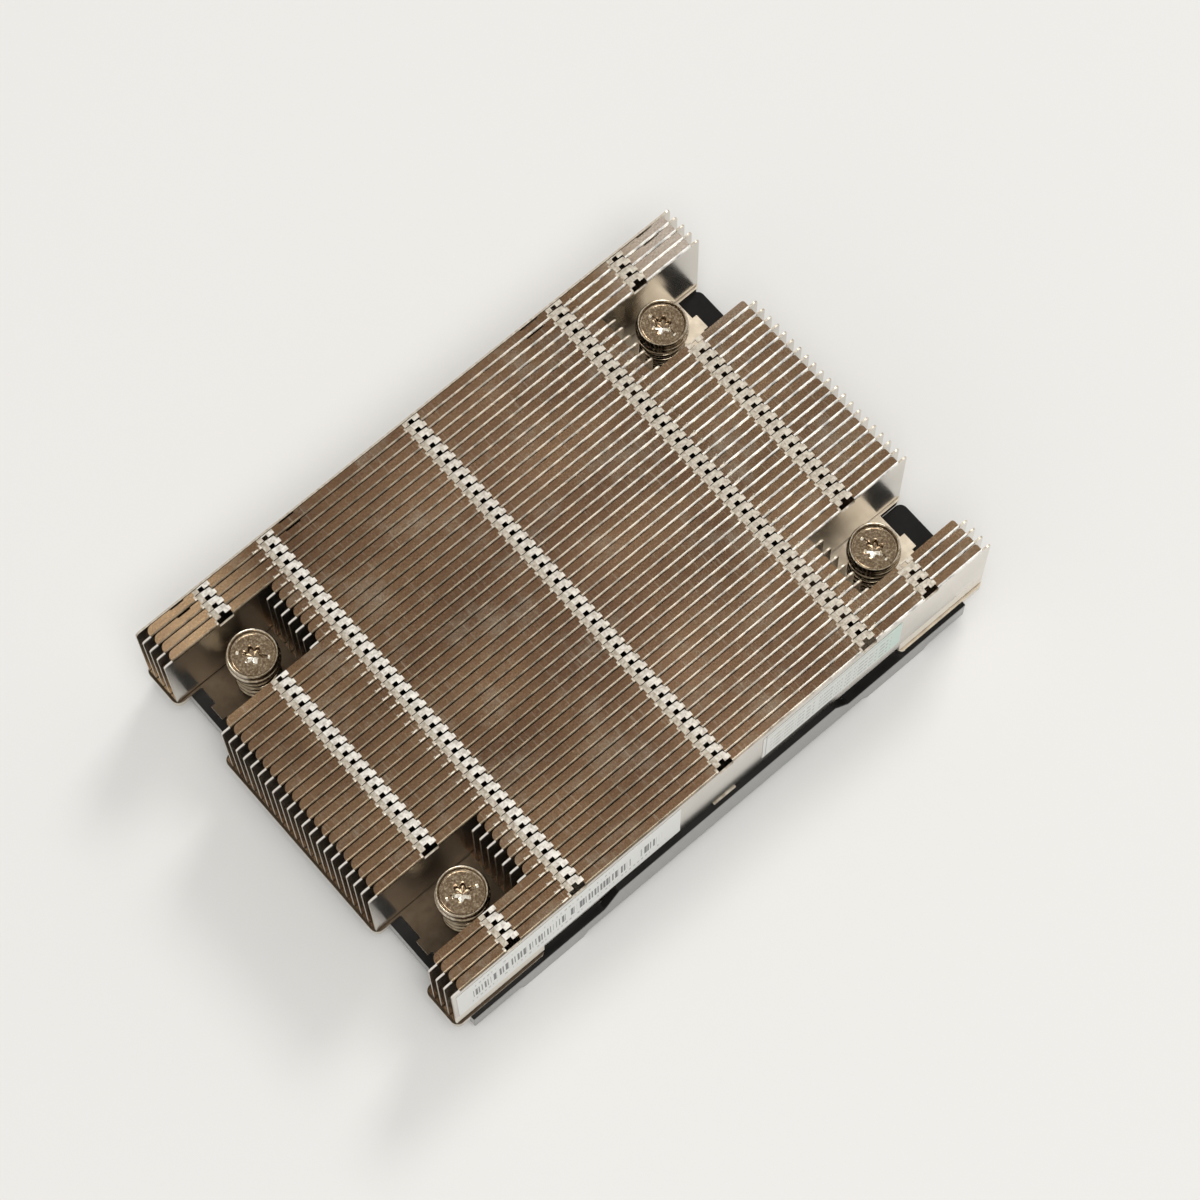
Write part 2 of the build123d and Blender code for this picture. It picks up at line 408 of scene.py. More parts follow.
# Painted highlight on the folds, white at the right end.
FOLD_PAINTED_HIGHLIGHT = material("painted_highlight_fold", (0.8, 0.76, 0.7), 1.0, 0.22, fold_painted_highlight_finish)
PRESSED = material("pale_pressed_tab", (0.74, 0.70, 0.64), 1.0, 0.3, pressed_finish)
WEB = material("nickel_web", (0.6, 0.56, 0.5), 1.0, 0.22, web_finish)
DULL = material("beige_pressed_tab", (0.45, 0.40, 0.33), 1.0, 0.38, dull_finish)
FOOT = material("satin_web_foot", (0.76, 0.72, 0.65), 1.0, 0.55)
BASE = material("nickel_base", (0.4, 0.34, 0.26), 1.0, 0.28, base_shade_and_light_finish)
BASE_EDGE = material(
    "nickel_edge", (0.6, 0.54, 0.45), 1.0, 0.3,
    lighter_nickel((0.56, 0.51, 0.43), (0.70, 0.65, 0.57)),
)
PAD = material("machined_pad", (0.56, 0.5, 0.4), 1.0, 0.2, pad_finish)
PLASTIC = material(
    "black_frame", (0.008, 0.0075, 0.007), 0.0, 0.38, plastic_finish, Specular_IOR_Level=0.12
)
# Painted reflection: the frame's upright sides are lighter than its black top, standing in for the pale
# floor they mirror; the coat adds real gloss.
SKIRT_PAINTED_REFLECTION = material(
    "frame_side_painted_reflection", (0.095, 0.092, 0.087), 0.0, 0.34,
    Specular_IOR_Level=1.0, Coat_Weight=0.8, Coat_Roughness=0.25,
)
SCREW = material("nickel_screw", (0.30, 0.23, 0.15), 1.0, 0.2, screw_finish)
# Painted highlight: the screws' rims are lighter than their heads.
RIM_PAINTED_HIGHLIGHT = material(
    "nickel_rim_painted_highlight", (0.4, 0.33, 0.24), 1.0, 0.15,
    lighter_nickel((0.34, 0.28, 0.20), (0.58, 0.51, 0.41)),
)
# Painted glint: bright nickel for the recess walls and groove ends on the lit side.
RECESS_PAINTED_GLINT = material(
    "painted_glint_recess", (0.8, 0.74, 0.63), 1.0, 0.15,
    lighter_nickel((0.62, 0.56, 0.45), (0.88, 0.84, 0.75)),
)
STEEL = material("spring_steel", (0.5, 0.44, 0.36), 1.0, 0.2, steel_finish)

# The materials of fins and screws, and the names of their numbers on the faces
FIN_MATERIALS = (FLANGE, FOLD_PAINTED_HIGHLIGHT, PRESSED, WEB, DULL, FOOT)
FLANGE_FACE, FOLD_FACE, PRESSED_FACE, WEB_FACE, DULL_FACE, FOOT_FACE = range(6)
SCREW_MATERIALS = (SCREW, RIM_PAINTED_HIGHLIGHT, RECESS_PAINTED_GLINT)
RIM_FACE, PAINTED_GLINT_FACE = 1, 2


# Helpers for pieces


def add_object(name, data):
    made = bpy.data.objects.new(name, data)
    bpy.context.scene.collection.objects.link(made)
    return made


def mesh_object(name, bm, materials):
    """Turns a bmesh in millimetres into an object in metres."""
    bmesh.ops.scale(bm, vec=(MM, MM, MM), verts=bm.verts)
    mesh = bpy.data.meshes.new(name)
    bm.to_mesh(mesh)
    bm.free()
    for entry in materials:
        mesh.materials.append(entry)
    return add_object(name, mesh)


def piece(name, bm, materials, body=ROOT):
    """A piece that rides on a body."""
    made = mesh_object(name, bm, materials)
    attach(made, body)
    return made


def smooth(made):
    for face in made.data.polygons:
        face.use_smooth = True


def thicken(made, label, thickness, offset):
    thick = made.modifiers.new(label, "SOLIDIFY")
    thick.thickness = thickness * MM
    thick.offset = offset
    return thick


def faces_where(bm, test):
    return [face for face in bm.faces if test(face.calc_center_median())]


def edges_where(bm, test):
    return [edge for edge in bm.edges if test((edge.verts[0].co + edge.verts[1].co) / 2)]


def paint(faces, number):
    """Gives the faces one of their piece's materials."""
    for face in faces:
        face.material_index = number


def mark(bm, test, number):
    paint(faces_where(bm, test), number)


def remove(bm, test):
    bmesh.ops.delete(bm, geom=faces_where(bm, test), context="FACES")


def cut_at(bm, test, axis, place):
    """Cuts the faces that pass the test at one place along an axis, square to it."""
    geometry = set()
    for face in faces_where(bm, test):
        geometry.update((face, *face.edges, *face.verts))
    point, normal = Vector(), Vector()
    point[axis] = place
    normal[axis] = 1
    bmesh.ops.bisect_plane(
        bm, geom=list(geometry), dist=1e-5, plane_co=point, plane_no=normal
    )


def draw_out(bm, edges, shift):
    """Draws new faces out from the edges; gives their far vertices and the faces."""
    drawn = bmesh.ops.extrude_edge_only(bm, edges=edges)["geom"]
    ends = [part for part in drawn if isinstance(part, bmesh.types.BMVert)]
    bmesh.ops.translate(bm, vec=shift, verts=ends)
    return ends, [part for part in drawn if isinstance(part, bmesh.types.BMFace)]


def round_off(bm, parts, size, segments, kind="VERTICES"):
    """Rounds corner vertices, or edges where kind says so; gives the new faces."""
    return bmesh.ops.bevel(
        bm, geom=parts, offset=size, offset_type="OFFSET", affect=kind,
        segments=segments, profile=0.5, material=-1,
    )["faces"]


# Fins


def rows_of(index):
    """Where a sheet's interlock slots lie along X."""
    if index >= FIN_COUNT - 1:
        return ()
    return SHORT_ROWS if index in SHORT_SHEETS else LONG_ROWS


def upper(place):
    """The top flange and its fold."""
    return place.z > TOP - FOLD_RADIUS


def lower(place):
    """The web below its top edge, and the bottom flange."""
    return place.z < TOP - 1


def off_base(place):
    """All but the bottom flange and its fold."""
    return place.z > BASE_TOP + 1


def at_top(place):
    return place.z > TOP - 0.01


def sheet_surface(index, rng):
    """Outer skin of one folded sheet: top flange, web and bottom flange, with cut-outs and tongues."""
    y = -STACK_HALF + index * PITCH
    short = index in SHORT_SHEETS
    web = SHORT_WEB if short else LONG_WEB
    flange = SHORT_FLANGE if short else LONG_FLANGE
    plain = index == FIN_COUNT - 1
    bm = bmesh.new()
    section = [(y, TOP), (y, BASE_TOP)]
    if not plain:
        section = [(y + REACH, TOP), *section, (y + REACH, BASE_TOP)]
    line = [bm.verts.new((-web, across, up)) for across, up in section]
    sides = [bm.edges.new(pair) for pair in zip(line, line[1:])]
    draw_out(bm, sides, (2 * web, 0, 0))
    mark(bm, off_base, WEB_FACE)
    if not plain:
        folds = edges_where(bm, lambda c: abs(c.y - y) < CLOSE and abs(c.x) < CLOSE)
        for face in round_off(bm, folds, FOLD_RADIUS, 4, "EDGES"):
            middle = face.calc_center_median()
            face.material_index = FOLD_FACE if off_base(middle) else FLANGE_FACE
        shape_flange(bm, index, y, flange)
        raise_ends(bm, y, flange)
    bmesh.ops.remove_doubles(bm, verts=bm.verts, dist=1e-4)
    corners = [v for v in bm.verts if abs(abs(v.co.x) - web) < CLOSE and at_top(v.co)]
    round_off(bm, corners, WEB_CORNER, 3)
    if index in (0, FIN_COUNT - 1):
        open_window(bm)
    if index == 0:
        finish_near_web(bm, y)
    face_outwards(bm, y)
    if not plain:
        lean_flange(bm, y, rng.uniform(*FLANGE_LEAN))
    return bm


def shape_flange(bm, index, y, flange):
    """Trims the top flange, rounds its corners, cuts its slots and draws out its tongues."""
    for side in (-1, 1):
        cut_at(bm, upper, X, side * flange)
    remove(bm, lambda c: upper(c) and abs(c.x) > flange)
    for side, radius in ((-1, CORNER_ROUND), (1, RIGHT_CORNER_ROUND)):
        corners = [
            v for v in bm.verts
            if abs(v.co.x - side * flange) < CLOSE and v.co.y > y + REACH - CLOSE and at_top(v.co)
        ]
        round_off(bm, corners, radius, 5)
    mark(bm, lambda c: c.z > TOP - CLOSE, FLANGE_FACE)
    tongues = rows_of(index + 1)
    for row in rows_of(index):
        open_slot(bm, row, y)
        if row in tongues:
            draw_tongue(bm, row, y)
        if abs(row) == DIMPLE_ROW:
            press_dimple(bm, row, y)
    if index in LOCKED_SHEETS:
        for left, right in LOCKS:
            part_seam(bm, left, right, y)


def open_slot(bm, row, y):
    """Cuts the slot and its neck, and marks the metal that the punch flattened round them."""
    for offset in (-PATCH_LEFT, -SLOT_HALF, -NECK_HALF, NECK_HALF, SLOT_HALF, PATCH_RIGHT):
        cut_at(bm, upper, X, row + offset)
    for offset in (-SLOT_HALF, SLOT_HALF):
        cut_at(bm, off_base, X, row + offset)

    def behind(c):
        return abs(c.x - row) < SLOT_HALF and off_base(c) and not upper(c)

    cut_at(bm, behind, Z, TOP - SLOT_DROP)
    remove(bm, lambda c: behind(c) and c.z > TOP - SLOT_DROP)

    def within(c, left, right, near, far):
        return upper(c) and left < c.x - row < right and near < c.y - y < far

    for depth in (SLOT_DEPTH, NECK_END):
        cut_at(bm, lambda c: within(c, -PATCH_LEFT, PATCH_RIGHT, -1, PITCH), Y, y + depth)
    mark(bm, lambda c: within(c, -NECK_HALF, PATCH_RIGHT, SLOT_DEPTH, PITCH), PRESSED_FACE)
    mark(bm, lambda c: within(c, -SLOT_HALF, -NECK_HALF, SLOT_DEPTH, PITCH), DULL_FACE)
    mark(bm, lambda c: within(c, -PATCH_LEFT, -SLOT_HALF, FOLD_CREST, SLOT_DEPTH), DULL_FACE)
    remove(bm, lambda c: (
        within(c, -SLOT_HALF, SLOT_HALF, -1, SLOT_DEPTH)
        or within(c, -NECK_HALF, NECK_HALF, -1, NECK_END)
    ))


def draw_tongue(bm, row, y):
    """The tongue on the free edge drops a little and reaches into the next sheet's slot."""
    root = edges_where(bm, lambda c: (
        abs(c.x - row) < SLOT_HALF and c.y > y + REACH - CLOSE and at_top(c)
    ))
    length = PITCH - REACH + SLOT_DEPTH - TONGUE_END_PLAY
    tip, drawn = draw_out(bm, root, (0, length, -TONGUE_DROP))
    for vertex in tip:
        aside = (vertex.co.x - row) / SLOT_HALF
        vertex.co.x = row + aside * TONGUE_HALF - TONGUE_SHIFT
        vertex.co.y -= max(0.0, aside - TONGUE_SKEW_FROM) * TONGUE_SKEW
    for face in drawn:
        left_half = face.calc_center_median().x < row - NECK_HALF
        face.material_index = DULL_FACE if left_half else PRESSED_FACE


def press_dimple(bm, row, y):
    """A small bright bar on the fold beside the row, with a pinhole at its outer end."""
    side = 1 if row > 0 else -1
    bar_start, bar_end, hole_end = (row + side * place for place in DIMPLE_STOPS)
    for place in (bar_start, bar_end, hole_end):
        cut_at(bm, upper, X, place)

    def between(c, first, second, near, far):
        return upper(c) and min(first, second) < c.x < max(first, second) and near < c.y - y < far

    for depth in (DIMPLE_BAR, DIMPLE_RIM):
        cut_at(bm, lambda c: between(c, bar_start, hole_end, -1, DIMPLE_FAR), Y, y + depth)
    mark(
        bm, lambda c: between(c, bar_start, bar_end, DIMPLE_NEAR, DIMPLE_BAR),
        PRESSED_FACE if side > 0 else DULL_FACE,
    )
    mark(bm, lambda c: between(c, bar_end, hole_end, DIMPLE_NEAR, DIMPLE_RIM), DULL_FACE)
    remove(bm, lambda c: between(c, bar_end, hole_end, FOLD_RADIUS, DIMPLE_BAR))


def part_seam(bm, left, right, y):
    """The last sheets are locked here: a short step back from the seam, with a dark gap."""
    def locked(c):
        return upper(c) and left < c.x < right

    for place in (left, right):
        cut_at(bm, upper, X, place)
    cut_at(bm, locked, Y, y + LOCK_EDGE)
    remove(bm, lambda c: locked(c) and c.y > y + LOCK_EDGE)


def raise_ends(bm, y, flange):
    """Past the flange's ends the web stands up straight to full height. At the left end these stubs take
    the bright pressed material, a painted highlight; at the right they keep the web's, so their top edges
    take the duller beige as painted shade.
    """
    stubs = edges_where(bm, lambda c: (
        abs(c.y - y) < CLOSE and abs(c.z - (TOP - FOLD_RADIUS)) < CLOSE and abs(c.x) > flange
    ))
    risen = draw_out(bm, stubs, (0, 0, FOLD_RADIUS))[1]
    # Painted highlight at the left end; at the right the duller edge colour is painted shade.
    for face in risen:
        face.material_index = PRESSED_FACE if face.calc_center_median().x < 0 else WEB_FACE


def open_window(bm):
    """The window in the first and the last web, which the frame's rail stands in."""
    for side in (-1, 1):
        cut_at(bm, lower, X, side * WINDOW_HALF)
    cut_at(bm, lower, Z, WINDOW_TOP)
    remove(bm, lambda c: c.z < WINDOW_TOP and abs(c.x) < WINDOW_HALF)


def finish_near_web(bm, y):
    """The near web's satin foot, and the small tab over the middle of its window."""
    cut_at(bm, lambda c: lower(c) and abs(c.x) > WINDOW_HALF and c.y < y + CLOSE, Z, WEB_FOOT)
    mark(bm, lambda c: c.z < WEB_FOOT and abs(c.y - y) < CLOSE, FOOT_FACE)
    for side in (-1, 1):
        cut_at(bm, lambda c: lower(c) and abs(c.x) < WINDOW_HALF, X, side * TAB_HALF)
    lip = edges_where(bm, lambda c: abs(c.z - WINDOW_TOP) < CLOSE and abs(c.x) < TAB_HALF)
    tab = draw_out(bm, lip, (0, -TAB_REACH, -TAB_DROP))[1]
    paint(tab, DULL_FACE)


def face_outwards(bm, y):
    """Turns the skin's outer side to the near side of the web."""
    bmesh.ops.recalc_face_normals(bm, faces=bm.faces)
    centre = Vector((0, y, WEB_MIDDLE))
    middle = min(bm.faces, key=lambda f: (f.calc_center_median() - centre).length)
    if middle.normal.y > 0:
        bmesh.ops.reverse_faces(bm, faces=bm.faces)


def lean_flange(bm, y, angle):
    """Turns the top flange a little about its fold, as no two sheets are bent quite alike."""
    fold_line = Vector((0, y, TOP))
    turn = Matrix.Translation(fold_line) @ Matrix.Rotation(angle, 4, "X") @ Matrix.Translation(-fold_line)
    bmesh.ops.transform(bm, matrix=turn, verts=[v for v in bm.verts if v.co.z > TOP - 0.3])


def build_fins():
    rng = random.Random(LEAN_SEED)
    for index in range(FIN_COUNT):
        bm = sheet_surface(index, rng)
        made = piece(f"folded_sheet_{index + 1:02d}", bm, FIN_MATERIALS)
        thick = thicken(made, "sheet thickness", SHEET, -1.0)
        thick.use_even_offset = True
        thick.material_offset_rim = 1
        name = f"fin_{index + 1:02d}"
        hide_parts(name)


# Screws and springs


THREAD_CORE = 1.70
THREAD_PITCH = 0.70
THREAD_RISE = 3.0
CUP = HEAD_TOP - 1.1
STAR_MOUTH = 2.1
STAR_RADIUS = 1.42
STAR_WAVE = 0.30
STAR_LEVELS = ((1.08, CUP), (1.0, CUP - 0.08), (0.86, CUP - 0.95), (0.10, CUP - 1.2))
GROOVE_HALF = 0.26
GROOVE_REACH = 2.95
GROOVE_DEPTH = 0.45
GROOVE_SLOPE = 0.07
FLOOR_RADIUS = 3.6
STAR_OUTSIDE = 1.9
LIT_SIDE = -0.25
GLINT_LENGTH = 0.45
RIM_INSIDE = 3.80
THREAD_STEPS = 28
SPRING_TURNS = 4.75
SPRING_STEPS = 32
SCREW_OUTLINE = (
    (0.9, TIP), (THREAD_CORE - 0.3, TIP), (THREAD_CORE, TIP + 0.3),
    (THREAD_CORE, THREAD_TOP), (SHANK_RADIUS - 0.1, THREAD_TOP),
    (SHANK_RADIUS, THREAD_TOP + 0.1), (SHANK_RADIUS, HEAD_UNDER - 0.15), (2.6, HEAD_UNDER),
    (HEAD_RADIUS - 0.30, HEAD_UNDER), (HEAD_RADIUS - 0.08, HEAD_UNDER + 0.08),
    (HEAD_RADIUS, HEAD_UNDER + 0.3), (HEAD_RADIUS, HEAD_UNDER + 1.35),
    (HEAD_RADIUS - 0.06, HEAD_UNDER + 1.5), (HEAD_RADIUS - 0.22, HEAD_UNDER + 1.62),
    (HEAD_RADIUS - 0.22, HEAD_TOP - 0.35), (HEAD_RADIUS - 0.28, HEAD_TOP - 0.12),
    (HEAD_RADIUS - 0.42, HEAD_TOP), (HEAD_RADIUS - 0.58, HEAD_TOP - 0.05),
    (HEAD_RADIUS - 0.70, HEAD_TOP - 0.25), (HEAD_RADIUS - 0.80, CUP + 0.25),
    (HEAD_RADIUS - 0.95, CUP + 0.05), (HEAD_RADIUS - 1.2, CUP),
    (2.6, CUP + 0.05), (STAR_MOUTH, CUP + 0.04),
)


def ring(bm, radius, height):
    return bmesh.ops.create_circle(
        bm, cap_ends=False, segments=48, radius=radius, matrix=Matrix.Translation((0, 0, height))
    )["verts"]


def edges_on(bm, *loops):
    """The edges with both ends in one of the loops of vertices."""
    groups = [set(loop) for loop in loops]
    return [e for e in bm.edges if any(e.verts[0] in g and e.verts[1] in g for g in groups)]


def turned(bm, outline):
    """A turned surface through the outline's radii and heights, open at both ends."""
    loops = [ring(bm, radius, height) for radius, height in outline]
    for low, high in zip(loops, loops[1:]):
        bmesh.ops.bridge_loops(bm, edges=edges_on(bm, low, high))
    return loops


def sink_star(bm, mouth):
    """The six-lobe recess under the mouth's loop; gives the loop at its bottom."""
    previous = mouth
    for share, height in STAR_LEVELS:
        level = ring(bm, 1.0, height)
        for vertex in level:
            angle = math.atan2(vertex.co.y, vertex.co.x)
            radius = share * (STAR_RADIUS + STAR_WAVE * math.cos(6 * angle))
            vertex.co.x = radius * math.cos(angle)
            vertex.co.y = radius * math.sin(angle)
        bmesh.ops.bridge_loops(bm, edges=edges_on(bm, previous, level))
        previous = level
    return previous


def sink_groove(bm):
    """The straight slot across the cup floor, which opens into the six-lobe recess."""
    def in_cup(c):
        return CUP - 0.45 < c.z < CUP + 0.3 and math.hypot(c.x, c.y) < FLOOR_RADIUS

    for half in (GROOVE_HALF, GROOVE_HALF + GROOVE_SLOPE):
        for side in (-1, 1):
            cut_at(bm, in_cup, Y, side * half)
    for reach in (GROOVE_REACH, GROOVE_REACH + GROOVE_SLOPE):
        for side in (-1, 1):
            cut_at(bm, lambda c: in_cup(c) and abs(c.y) < GROOVE_HALF + GROOVE_SLOPE, X, side * reach)
    for vertex in bm.verts:
        place = vertex.co
        on_floor = CUP - 0.12 < place.z < CUP + 0.3
        if on_floor and abs(place.y) < GROOVE_HALF + CLOSE and abs(place.x) < GROOVE_REACH + CLOSE:
            place.z -= GROOVE_DEPTH


def mark_screw(bm, turn):
    """Marks the rim, lighter as a painted highlight, and painted glints on the recess walls at the near
    left and on the groove's ends.
    """
    # Painted highlight: the rim and the head's upper side take the lighter rim material.
    mark(bm, lambda c: c.z > HEAD_UNDER + 0.2 and math.hypot(c.x, c.y) > RIM_INSIDE, RIM_FACE)

    # Painted glint on the recess walls at the near left.
    def painted_glint_wall(c):
        from_axis = math.hypot(c.x, c.y)
        in_star = CUP - 1.1 < c.z < CUP - 0.02 and from_axis < STAR_OUTSIDE
        return in_star and c.x + c.y < LIT_SIDE * from_axis

    mark(bm, painted_glint_wall, PAINTED_GLINT_FACE)
    back = Matrix.Rotation(-turn, 3, "Z")

    # Painted glint at the groove's ends.
    def groove_end_glint(c):
        along = abs((back @ c).x)
        in_groove = CUP - GROOVE_DEPTH - 0.1 < c.z < CUP - 0.1
        return in_groove and GROOVE_REACH - GLINT_LENGTH < along < GROOVE_REACH + 0.1

    mark(bm, groove_end_glint, PAINTED_GLINT_FACE)


def build_screw(number, x, y, turn):
    bm = bmesh.new()
    loops = turned(bm, SCREW_OUTLINE)
    bottom = sink_star(bm, loops[-1])
    for loop in (loops[0], bottom):
        bmesh.ops.holes_fill(bm, edges=edges_on(bm, loop), sides=0)
    sink_groove(bm)
    bmesh.ops.recalc_face_normals(bm, faces=bm.faces)
    bmesh.ops.rotate(bm, cent=(0, 0, 0), matrix=Matrix.Rotation(turn, 3, "Z"), verts=bm.verts)
    mark_screw(bm, turn)
    bmesh.ops.translate(bm, vec=(x, y, 0), verts=bm.verts)
    name = f"captive_screw_{number}"
    made = piece(name, bm, SCREW_MATERIALS, name)
    smooth(made)
    sharp = made.modifiers.new("crisp edges", "EDGE_SPLIT")
    sharp.split_angle = math.radians(42)
    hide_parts(f"screw_{number}")


def wind(bm, turns, rise, steps_per_turn):
    """Winds the profile in the bmesh round the Z axis, with an even rise."""
    steps = int(turns * steps_per_turn)
    bmesh.ops.spin(
        bm, geom=list(bm.verts) + list(bm.edges) + list(bm.faces), cent=(0, 0, 0), axis=(0, 0, 1),
        dvec=(0, 0, rise / steps), angle=2 * math.pi * turns, steps=steps,
        use_merge=False, use_duplicate=False,
    )
    bmesh.ops.recalc_face_normals(bm, faces=bm.faces)


def build_thread(number, x, y):
    """The ridge of the thread, wound round its core."""
    bm = bmesh.new()
    foot = THREAD_CORE - 0.05
    half = THREAD_PITCH * 0.36
    ridge = [bm.verts.new(place) for place in ((foot, 0, -half), (THREAD_RADIUS, 0, 0), (foot, 0, half))]
    bm.faces.new(ridge)
    bmesh.ops.translate(bm, vec=(0, 0, TIP + 0.45), verts=bm.verts)
    wind(bm, THREAD_RISE / THREAD_PITCH, THREAD_RISE, THREAD_STEPS)
    bmesh.ops.translate(bm, vec=(x, y, 0), verts=bm.verts)
    piece(f"screw_thread_{number}", bm, (SCREW,), f"captive_screw_{number}")


def build_spring(number, x, y):
    """The coil between the base plate and the screw's head."""
    wire = SPRING_WIRE / 2
    low = BASE_TOP + wire
    high = HEAD_UNDER - wire
    bm = bmesh.new()
    section = bmesh.ops.create_circle(bm, cap_ends=True, segments=10, radius=wire)["verts"]
    upright = Matrix.Rotation(math.pi / 2, 3, "X")
    bmesh.ops.rotate(bm, cent=(0, 0, 0), matrix=upright, verts=section)
    bmesh.ops.translate(bm, vec=(SPRING_RADIUS - wire, 0, low), verts=section)
    wind(bm, SPRING_TURNS, high - low, SPRING_STEPS)
    bmesh.ops.translate(bm, vec=(x, y, 0), verts=bm.verts)
    made = piece(f"coil_spring_{number}", bm, (STEEL,), ROOT)
    smooth(made)
    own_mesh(made)
    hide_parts(f"spring_{number}")


# Base plate and frame


PLATE_CORNER = 1.5
PLATE_CORNERS_BEYOND = 60.9
PLATE_EDGE = 0.30
FRAME_EDGE = 0.25
SHARP = math.radians(38)
FLAT_FACE, SIDE_FACE = range(2)


def give_finish(node_name, finish):
    """A solid that keeps its own shape gets a finer surface."""
    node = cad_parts[node_name]
    node.data.materials.clear()
    node.data.materials.append(finish)


def merged_solid(node_name):
    """A copy of a solid's mesh, in millimetres, with its flat faces made whole."""
    bm = bmesh.new()
    bm.from_mesh(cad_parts[node_name].data)
    bmesh.ops.scale(bm, vec=(1000, 1000, 1000), verts=bm.verts)
    bmesh.ops.remove_doubles(bm, verts=bm.verts, dist=1e-3)
    bmesh.ops.dissolve_limit(
        bm, angle_limit=math.radians(1.0), verts=bm.verts, edges=bm.edges,
        use_dissolve_boundaries=False,
    )
    return bm


def round_plate_corners(bm):
    """Rounds the upright edges at the base plate's outer corners."""
    corners = [
        edge for edge in bm.edges
        if len(edge.link_faces) == 2 and edge.calc_face_angle(0.0) > 1.2
        and abs(edge.verts[0].co.z - edge.verts[1].co.z) > 0.8
        and abs(edge.verts[0].co.x) > PLATE_CORNERS_BEYOND
    ]
    round_off(bm, corners, PLATE_CORNER, 5, "EDGES")


def soften_edges(bm, name, node_name, materials, width):
    """The solid's own shape again, with its sharp edges rounded as on the stamped or moulded part."""
    bm.normal_update()
    # Upright faces take the second material; on the frame that is the painted reflection.
    for face in bm.faces:
        face.material_index = SIDE_FACE if abs(face.normal.z) < 0.4 else FLAT_FACE
    made = piece(name, bm, materials, ROOT)
    rounded = made.modifiers.new("rounded edges", "BEVEL")
    rounded.width = width * MM
    rounded.segments = 2
    rounded.limit_method = "ANGLE"
    rounded.angle_limit = SHARP
    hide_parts(node_name)


def build_base_plate():
    bm = merged_solid("base_plate")
    round_plate_corners(bm)
    soften_edges(
        bm, "rolled_base_plate", "base_plate", (BASE, BASE_EDGE), PLATE_EDGE
    )


def build_frame():
    bm = merged_solid("mounting_frame")
    soften_edges(
        bm, "moulded_frame", "mounting_frame", (PLASTIC, SKIRT_PAINTED_REFLECTION), FRAME_EDGE
    )


# Labels on the near web: their edges are left, right, low and high


BAR_LABEL = (-60.0, -10.3, 12.3, 25.9)
BAR_HEIGHTS = (16.9, 21.2)
BAR_RUNS = ((-56.6, -21.6), (-19.3, -14.3))
DOT_ROWS = (
    ((23.2, 24.0), (-56.4, -47.0)),
    ((23.2, 24.0), (-41.0, -24.0)),
    ((14.6, 15.4), (-57.0, -13.0)),
)
GREEN_LABEL = (8.5, 40.5, 14.5, 25.5)
GREEN_LABEL_LEAN = 0.01
MARK_HEIGHTS = (15.3, 23.2)
MARK_RUN = (10.2, 38.5)
OUTLINE_LEFT = (9.1, 9.35)
OUTLINE_TOP = (24.3, 24.6)
OUTLINE_RUN = (9.1, 38.0)
PAPER = 0.05
LABEL_STAND_OFF = 0.06


def inside(tree, value, limits):
    above = math_node(tree, "GREATER_THAN", value, limits[0])
    below = math_node(tree, "LESS_THAN", value, limits[1])
    return product(tree, above, below)


def random_bars(tree, along, step, fill):
    """Upright bars in cells of one step; fill sets how wide they are, and each differs."""
    scaled = product(tree, along, 1.0 / step)
    made = node_of(tree, "ShaderNodeTexWhiteNoise", noise_dimensions="1D")
    tree.links.new(math_node(tree, "FLOOR", scaled), made.inputs["W"])
    share = product(tree, made.outputs["Value"], fill)
    return math_node(tree, "LESS_THAN", math_node(tree, "FRACT", scaled), share)


def shifted(tree, value, by):
    return math_node(tree, "ADD", value, by)


def print_label(tree, shader, color):
    tree.links.new(color, shader.inputs["Base Color"])
    bump(tree, shader, noise(tree, coordinates(tree), 3.0), 0.05)


def label_finish(tree, shader):
    """Plain bars and three short rows of dots, drawn by formula."""
    along, up = place_along(tree, X), place_along(tree, Z)
    bars = product(
        tree, random_bars(tree, along, 0.66, 0.95), inside(tree, up, BAR_HEIGHTS),
        either(tree, *(inside(tree, along, run) for run in BAR_RUNS)),
    )
    rows = either(tree, *(
        product(tree, inside(tree, up, heights), inside(tree, along, run))
        for heights, run in DOT_ROWS
    ))
    dots = product(tree, random_bars(tree, shifted(tree, along, 300.0), 0.9, 0.6), rows, 0.55)
    color = blend_colors(tree, bars, (0.80, 0.805, 0.78), grey(0.16))
    color = blend_colors(tree, dots, color, grey(0.24))
    print_label(tree, shader, color)


def green_label_finish(tree, shader):
    """Pale label, greener at its right end, with rows of small grey marks and a thin outline."""
    along, up = place_along(tree, X), place_along(tree, Z)
    paper = ramp(
        tree, share_along(tree, X, 8, 41),
        (0.0, (0.78, 0.78, 0.75)), (0.75, (0.74, 0.77, 0.73)), (1.0, (0.58, 0.74, 0.66)),
    )
    line = math_node(tree, "FRACT", product(tree, up, 0.52))
    marks = product(
        tree, random_bars(tree, shifted(tree, along, 90.0), 0.5, 1.1),
        inside(tree, line, (0.30, 0.72)), inside(tree, along, MARK_RUN),
        inside(tree, up, MARK_HEIGHTS), 0.5,
    )
    outline = either(
        tree, inside(tree, along, OUTLINE_LEFT),
        product(tree, inside(tree, up, OUTLINE_TOP), inside(tree, along, OUTLINE_RUN)),
    )
    color = blend_colors(tree, marks, paper, (0.22, 0.23, 0.22))
    color = blend_colors(tree, product(tree, outline, 0.6), color, (0.25, 0.27, 0.25))
    print_label(tree, shader, color)


